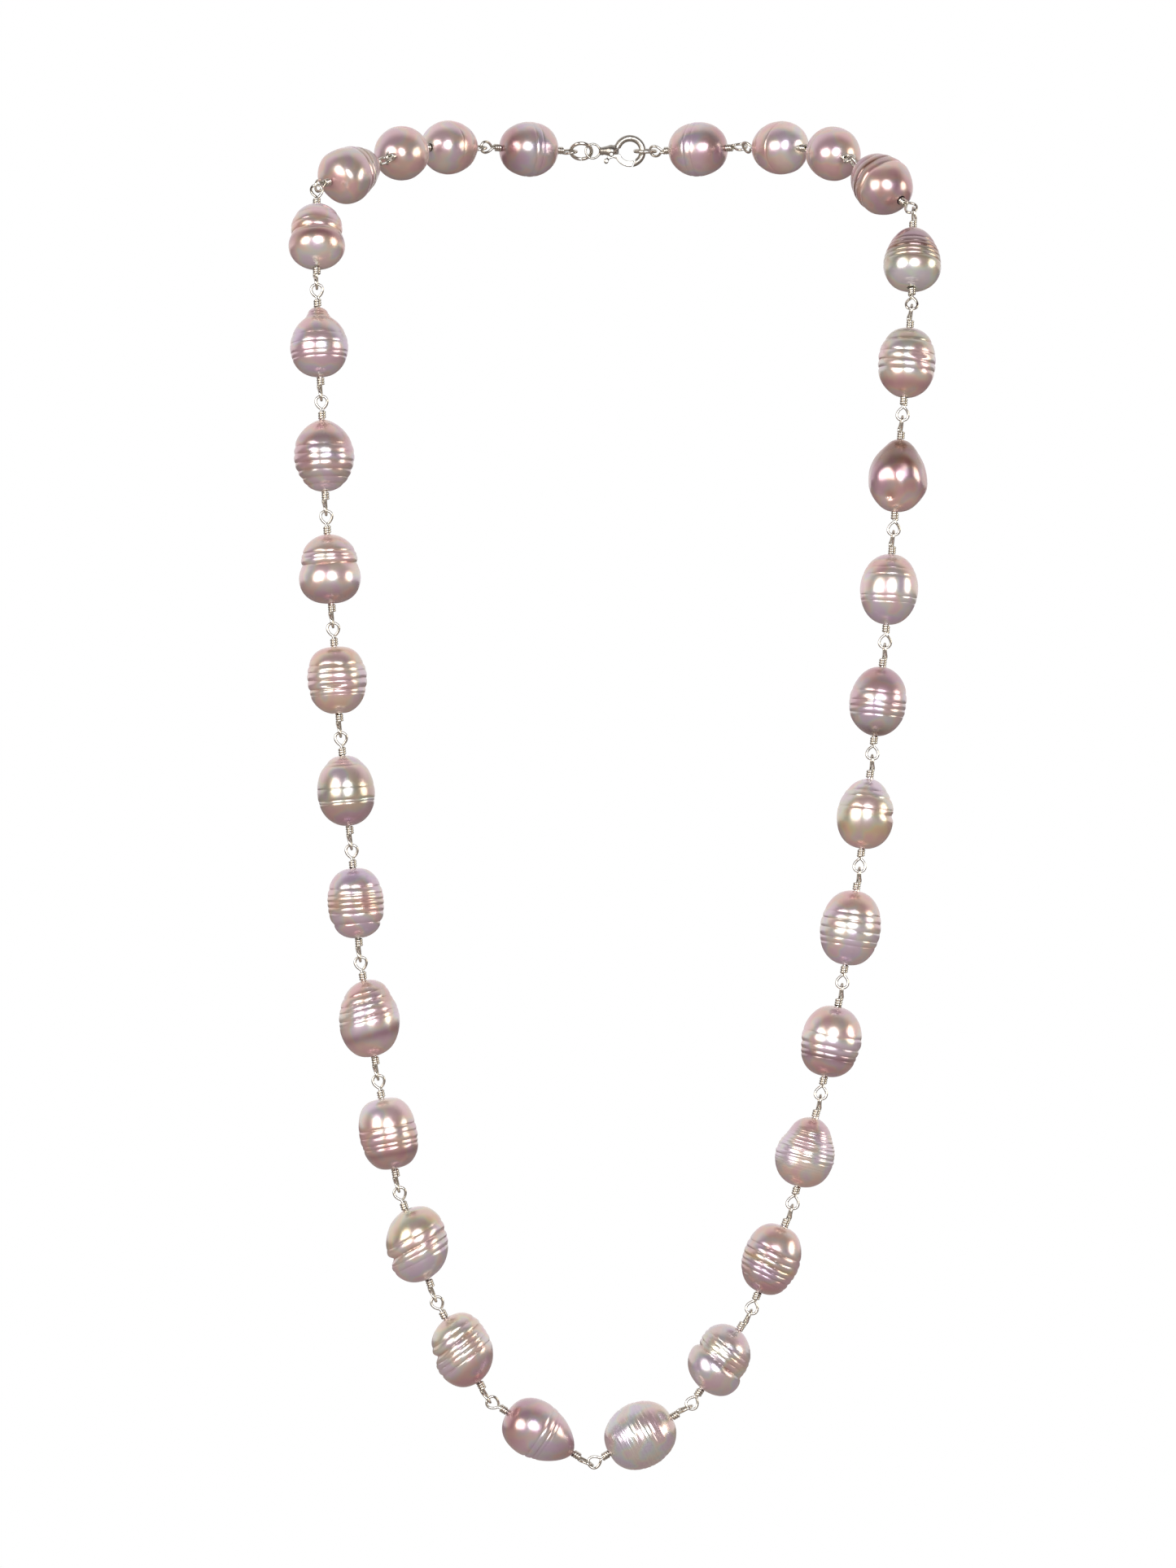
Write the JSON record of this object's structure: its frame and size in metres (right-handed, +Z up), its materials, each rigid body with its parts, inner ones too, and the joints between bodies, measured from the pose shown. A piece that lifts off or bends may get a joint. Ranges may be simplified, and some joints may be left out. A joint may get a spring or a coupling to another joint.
{
  "type": "pearl necklace",
  "caption": "Long necklace of ringed pearls on wire-wrapped silver links, closed by a lobster clasp at the nape.",
  "frame": {"origin": "middle of the neck opening, about level with the clasp", "axes": "+Z up, along the hanging strands; -Y the way the wearer faces; +X to the right of someone who looks at the wearer"},
  "size_m": [0.1207, 0.0732, 0.254],
  "materials": {
    "rose_pearl": "rose pink nacre, high lustre",
    "peach_pearl": "peach pink nacre, high lustre",
    "lilac_pearl": "pale lilac nacre, high lustre",
    "mauve_pearl": "deep mauve nacre, high lustre",
    "silver_pearl": "silvery pink nacre, high lustre",
    "cream_pearl": "cream white nacre with a pink edge, high lustre",
    "silver_wire": "polished sterling silver wire",
    "clasp_silver": "polished cast sterling silver",
    "spring_steel": "drawn spring wire"
  },
  "bodies": {
    "nape": {"nape_pearls": "rose_pearl", "nape_links": "silver_wire", "link_left_01": "silver_wire", "link_right_01": "silver_wire", "clasp_body": "clasp_silver", "clasp_pin": "clasp_silver", "clasp_spring": "spring_steel", "jump_rings": "clasp_silver"},
    "clasp_lever": {"clasp_lever": "clasp_silver"},
    "link_left_02": {"link_left_02": "silver_wire"},
    "link_left_03": {"link_left_03": "silver_wire"},
    "link_left_04": {"link_left_04": "silver_wire"},
    "link_left_05": {"link_left_05": "silver_wire"},
    "link_left_06": {"link_left_06": "silver_wire"},
    "link_left_07": {"link_left_07": "silver_wire"},
    "link_left_08": {"link_left_08": "silver_wire"},
    "link_left_09": {"link_left_09": "silver_wire"},
    "link_left_10": {"link_left_10": "silver_wire"},
    "link_left_11": {"link_left_11": "silver_wire"},
    "link_left_12": {"link_left_12": "silver_wire"},
    "link_left_13": {"link_left_13": "silver_wire"},
    "link_right_02": {"link_right_02": "silver_wire"},
    "link_right_03": {"link_right_03": "silver_wire"},
    "link_right_04": {"link_right_04": "silver_wire"},
    "link_right_05": {"link_right_05": "silver_wire"},
    "link_right_06": {"link_right_06": "silver_wire"},
    "link_right_07": {"link_right_07": "silver_wire"},
    "link_right_08": {"link_right_08": "silver_wire"},
    "link_right_09": {"link_right_09": "silver_wire"},
    "link_right_10": {"link_right_10": "silver_wire"},
    "link_right_11": {"link_right_11": "silver_wire"},
    "link_right_12": {"link_right_12": "silver_wire"},
    "link_right_13": {"link_right_13": "silver_wire"},
    "pearl_left_01": {"pearl_left_01": "rose_pearl"},
    "pearl_left_02": {"pearl_left_02": "peach_pearl"},
    "pearl_left_03": {"pearl_left_03": "lilac_pearl"},
    "pearl_left_04": {"pearl_left_04": "lilac_pearl"},
    "pearl_left_05": {"pearl_left_05": "rose_pearl"},
    "pearl_left_06": {"pearl_left_06": "peach_pearl"},
    "pearl_left_07": {"pearl_left_07": "silver_pearl"},
    "pearl_left_08": {"pearl_left_08": "peach_pearl"},
    "pearl_left_09": {"pearl_left_09": "rose_pearl"},
    "pearl_left_10": {"pearl_left_10": "mauve_pearl"},
    "pearl_left_11": {"pearl_left_11": "cream_pearl"},
    "pearl_left_12": {"pearl_left_12": "rose_pearl"},
    "pearl_left_13": {"pearl_left_13": "mauve_pearl"},
    "pearl_right_01": {"pearl_right_01": "mauve_pearl"},
    "pearl_right_02": {"pearl_right_02": "silver_pearl"},
    "pearl_right_03": {"pearl_right_03": "rose_pearl"},
    "pearl_right_04": {"pearl_right_04": "mauve_pearl"},
    "pearl_right_05": {"pearl_right_05": "lilac_pearl"},
    "pearl_right_06": {"pearl_right_06": "rose_pearl"},
    "pearl_right_07": {"pearl_right_07": "peach_pearl"},
    "pearl_right_08": {"pearl_right_08": "silver_pearl"},
    "pearl_right_09": {"pearl_right_09": "mauve_pearl"},
    "pearl_right_10": {"pearl_right_10": "lilac_pearl"},
    "pearl_right_11": {"pearl_right_11": "rose_pearl"},
    "pearl_right_12": {"pearl_right_12": "rose_pearl"},
    "pearl_right_13": {"pearl_right_13": "cream_pearl"}
  },
  "joints": [
    {"name": "lever_press", "type": "hinge", "parent": "nape", "child": "clasp_lever", "pos_m": [-0.00038, 0.026, 0.0003], "axis": [0, -1, 0], "range_deg": [0, 18], "stiffness_Nm_per_rad": 0.004, "deforming": ["clasp_spring"]},
    {"name": "swing_left_02", "type": "hinge", "parent": "nape", "child": "link_left_02", "pos_m": [-0.0551, -0.02967, -0.01114], "axis": [-0.9998, 0, -0.0175], "range_deg": [-60, 60]},
    {"name": "swing_right_02", "type": "hinge", "parent": "nape", "child": "link_right_02", "pos_m": [0.05562, -0.02696, -0.01574], "axis": [0.8037, 0.2124, 0.5558], "range_deg": [-60, 60]},
    {"name": "swing_left_03", "type": "hinge", "parent": "link_left_02", "child": "link_left_03", "pos_m": [-0.05477, -0.03669, -0.03013], "axis": [0.999, 0, 0.0436], "range_deg": [-60, 60]},
    {"name": "swing_right_03", "type": "hinge", "parent": "link_right_02", "child": "link_right_03", "pos_m": [0.05476, -0.03359, -0.03442], "axis": [-0.9994, 0, 0.0349], "range_deg": [-60, 60]},
    {"name": "swing_left_04", "type": "hinge", "parent": "link_left_03", "child": "link_left_04", "pos_m": [-0.05387, -0.03815, -0.05079], "axis": [-0.999, 0, -0.0436], "range_deg": [-60, 60]},
    {"name": "swing_right_04", "type": "hinge", "parent": "link_right_03", "child": "link_right_04", "pos_m": [0.05294, -0.03493, -0.05504], "axis": [0.9962, 0, -0.0872], "range_deg": [-60, 60]},
    {"name": "swing_left_05", "type": "hinge", "parent": "link_left_04", "child": "link_left_05", "pos_m": [-0.05296, -0.0389, -0.07188], "axis": [0.9981, 0, 0.061], "range_deg": [-60, 60]},
    {"name": "swing_right_05", "type": "hinge", "parent": "link_right_04", "child": "link_right_05", "pos_m": [0.05128, -0.03566, -0.07619], "axis": [-0.9969, 0, 0.0785], "range_deg": [-60, 60]},
    {"name": "swing_left_06", "type": "hinge", "parent": "link_left_05", "child": "link_left_06", "pos_m": [-0.0517, -0.03926, -0.09247], "axis": [-0.9976, 0, -0.0698], "range_deg": [-60, 60]},
    {"name": "swing_right_06", "type": "hinge", "parent": "link_right_05", "child": "link_right_06", "pos_m": [0.04964, -0.03602, -0.09696], "axis": [0.9969, 0, -0.0785], "range_deg": [-60, 60]},
    {"name": "swing_left_07", "type": "hinge", "parent": "link_left_06", "child": "link_left_07", "pos_m": [-0.05031, -0.03926, -0.11255], "axis": [0.9954, 0, 0.0958], "range_deg": [-60, 60]},
    {"name": "swing_right_07", "type": "hinge", "parent": "link_right_06", "child": "link_right_07", "pos_m": [0.04729, -0.03601, -0.11745], "axis": [-0.9936, 0, 0.1132], "range_deg": [-60, 60]},
    {"name": "swing_left_08", "type": "hinge", "parent": "link_left_07", "child": "link_left_08", "pos_m": [-0.04831, -0.03926, -0.13319], "axis": [-0.9969, 0, -0.0785], "range_deg": [-60, 60]},
    {"name": "swing_right_08", "type": "hinge", "parent": "link_right_07", "child": "link_right_08", "pos_m": [0.04493, -0.03601, -0.13815], "axis": [0.9936, 0, -0.1132], "range_deg": [-60, 60]},
    {"name": "swing_left_09", "type": "hinge", "parent": "link_left_08", "child": "link_left_09", "pos_m": [-0.04672, -0.03926, -0.15376], "axis": [0.989, 0, 0.1478], "range_deg": [-60, 60]},
    {"name": "swing_right_09", "type": "hinge", "parent": "link_right_08", "child": "link_right_09", "pos_m": [0.04172, -0.03601, -0.15954], "axis": [-0.989, 0, 0.1478], "range_deg": [-60, 60]},
    {"name": "swing_left_10", "type": "hinge", "parent": "link_left_09", "child": "link_left_10", "pos_m": [-0.04349, -0.03926, -0.17545], "axis": [-0.9833, 0, -0.1822], "range_deg": [-60, 60]},
    {"name": "swing_right_10", "type": "hinge", "parent": "link_right_09", "child": "link_right_10", "pos_m": [0.03773, -0.03601, -0.17998], "axis": [0.9816, 0, -0.1908], "range_deg": [-60, 60]},
    {"name": "swing_left_11", "type": "hinge", "parent": "link_left_10", "child": "link_left_11", "pos_m": [-0.03973, -0.03926, -0.19604], "axis": [0.9483, 0, 0.3173], "range_deg": [-60, 60]},
    {"name": "swing_right_11", "type": "hinge", "parent": "link_right_10", "child": "link_right_11", "pos_m": [0.0325, -0.03601, -0.20014], "axis": [-0.9681, 0, 0.2504], "range_deg": [-60, 60]},
    {"name": "swing_left_12", "type": "hinge", "parent": "link_left_11", "child": "link_left_12", "pos_m": [-0.03305, -0.03926, -0.2162], "axis": [-0.8829, 0, -0.4695], "range_deg": [-60, 60]},
    {"name": "swing_right_12", "type": "hinge", "parent": "link_right_11", "child": "link_right_12", "pos_m": [0.02486, -0.03601, -0.21942], "axis": [0.9304, 0, -0.3665], "range_deg": [-60, 60]},
    {"name": "swing_left_13", "type": "hinge", "parent": "link_left_12", "child": "link_left_13", "pos_m": [-0.02332, -0.03929, -0.2349], "axis": [0.5359, 0, 0.8443], "range_deg": [-60, 60]},
    {"name": "swing_right_13", "type": "hinge", "parent": "link_right_12", "child": "link_right_13", "pos_m": [0.01365, -0.03601, -0.23687], "axis": [-0.8434, 0, 0.5373], "range_deg": [-60, 60]},
    {"name": "spin_left_01", "type": "hinge", "parent": "nape", "child": "pearl_left_01", "pos_m": [-0.04883, -0.0222, -0.0081], "axis": [-0.6014, -0.7296, -0.3256], "continuous": true},
    {"name": "spin_right_01", "type": "hinge", "parent": "nape", "child": "pearl_right_01", "pos_m": [0.04991, -0.02003, -0.01013], "axis": [0.5394, -0.6544, -0.5299], "continuous": true},
    {"name": "spin_left_02", "type": "hinge", "parent": "link_left_02", "child": "pearl_left_02", "pos_m": [-0.05492, -0.03326, -0.021], "axis": [0.0164, -0.342, -0.9395], "continuous": true},
    {"name": "spin_right_02", "type": "hinge", "parent": "link_right_02", "child": "pearl_right_02", "pos_m": [0.0551, -0.03008, -0.0248], "axis": [-0.0328, -0.342, -0.9391], "continuous": true},
    {"name": "spin_left_03", "type": "hinge", "parent": "link_left_03", "child": "pearl_left_03", "pos_m": [-0.05431, -0.03744, -0.04083], "axis": [0.0435, -0.0698, -0.9966], "continuous": true},
    {"name": "spin_right_03", "type": "hinge", "parent": "link_right_03", "child": "pearl_right_03", "pos_m": [0.05387, -0.03418, -0.04437], "axis": [-0.0869, -0.0698, -0.9938], "continuous": true},
    {"name": "spin_left_04", "type": "hinge", "parent": "link_left_04", "child": "pearl_left_04", "pos_m": [-0.0534, -0.03854, -0.06171], "axis": [0.0436, -0.0349, -0.9984], "continuous": true},
    {"name": "spin_right_04", "type": "hinge", "parent": "link_right_04", "child": "pearl_right_04", "pos_m": [0.05214, -0.03528, -0.06524], "axis": [-0.0784, -0.0349, -0.9963], "continuous": true},
    {"name": "spin_left_05", "type": "hinge", "parent": "link_left_05", "child": "pearl_left_05", "pos_m": [-0.0523, -0.03908, -0.08255], "axis": [0.061, -0.0175, -0.998], "continuous": true},
    {"name": "spin_right_05", "type": "hinge", "parent": "link_right_05", "child": "pearl_right_05", "pos_m": [0.05049, -0.03583, -0.0862], "axis": [-0.0784, -0.0175, -0.9968], "continuous": true},
    {"name": "spin_left_06", "type": "hinge", "parent": "link_left_06", "child": "pearl_left_06", "pos_m": [-0.05097, -0.03926, -0.10289], "axis": [0.0698, 0, -0.9976], "continuous": true},
    {"name": "spin_right_06", "type": "hinge", "parent": "link_right_06", "child": "pearl_right_06", "pos_m": [0.0485, -0.03601, -0.10683], "axis": [-0.1132, 0, -0.9936], "continuous": true},
    {"name": "spin_left_07", "type": "hinge", "parent": "link_left_07", "child": "pearl_left_07", "pos_m": [-0.04928, -0.03926, -0.12324], "axis": [0.0958, 0, -0.9954], "continuous": true},
    {"name": "spin_right_07", "type": "hinge", "parent": "link_right_07", "child": "pearl_right_07", "pos_m": [0.04616, -0.03601, -0.12743], "axis": [-0.1132, 0, -0.9936], "continuous": true},
    {"name": "spin_left_08", "type": "hinge", "parent": "link_left_08", "child": "pearl_left_08", "pos_m": [-0.04747, -0.03926, -0.14385], "axis": [0.0785, 0, -0.9969], "continuous": true},
    {"name": "spin_right_08", "type": "hinge", "parent": "link_right_08", "child": "pearl_right_08", "pos_m": [0.04338, -0.03601, -0.14847], "axis": [-0.1478, 0, -0.989], "continuous": true},
    {"name": "spin_left_09", "type": "hinge", "parent": "link_left_09", "child": "pearl_left_09", "pos_m": [-0.04504, -0.03926, -0.16497], "axis": [0.1478, 0, -0.989], "continuous": true},
    {"name": "spin_right_09", "type": "hinge", "parent": "link_right_09", "child": "pearl_right_09", "pos_m": [0.03979, -0.03601, -0.16939], "axis": [-0.1908, 0, -0.9816], "continuous": true},
    {"name": "spin_left_10", "type": "hinge", "parent": "link_left_10", "child": "pearl_left_10", "pos_m": [-0.04152, -0.03926, -0.18611], "axis": [0.1822, 0, -0.9833], "continuous": true},
    {"name": "spin_right_10", "type": "hinge", "parent": "link_right_10", "child": "pearl_right_10", "pos_m": [0.0352, -0.03601, -0.1897], "axis": [-0.2504, 0, -0.9681], "continuous": true},
    {"name": "spin_left_11", "type": "hinge", "parent": "link_left_11", "child": "pearl_left_11", "pos_m": [-0.03624, -0.03926, -0.20646], "axis": [0.3173, 0, -0.9483], "continuous": true},
    {"name": "spin_right_11", "type": "hinge", "parent": "link_right_11", "child": "pearl_right_11", "pos_m": [0.02879, -0.03601, -0.20943], "axis": [-0.3665, 0, -0.9304], "continuous": true},
    {"name": "spin_left_12", "type": "hinge", "parent": "link_left_12", "child": "pearl_left_12", "pos_m": [-0.02794, -0.03926, -0.22581], "axis": [0.4695, 0, -0.8829], "continuous": true},
    {"name": "spin_right_12", "type": "hinge", "parent": "link_right_12", "child": "pearl_right_12", "pos_m": [0.01942, -0.03601, -0.22781], "axis": [-0.5373, 0, -0.8434], "continuous": true},
    {"name": "spin_left_13", "type": "hinge", "parent": "link_left_13", "child": "pearl_left_13", "pos_m": [-0.01368, -0.03844, -0.24101], "axis": [0.8419, 0.0744, -0.5345], "continuous": true},
    {"name": "spin_right_13", "type": "hinge", "parent": "link_right_13", "child": "pearl_right_13", "pos_m": [0.00474, -0.03681, -0.24174], "axis": [-0.8665, -0.0765, -0.4932], "continuous": true}
  ]
}
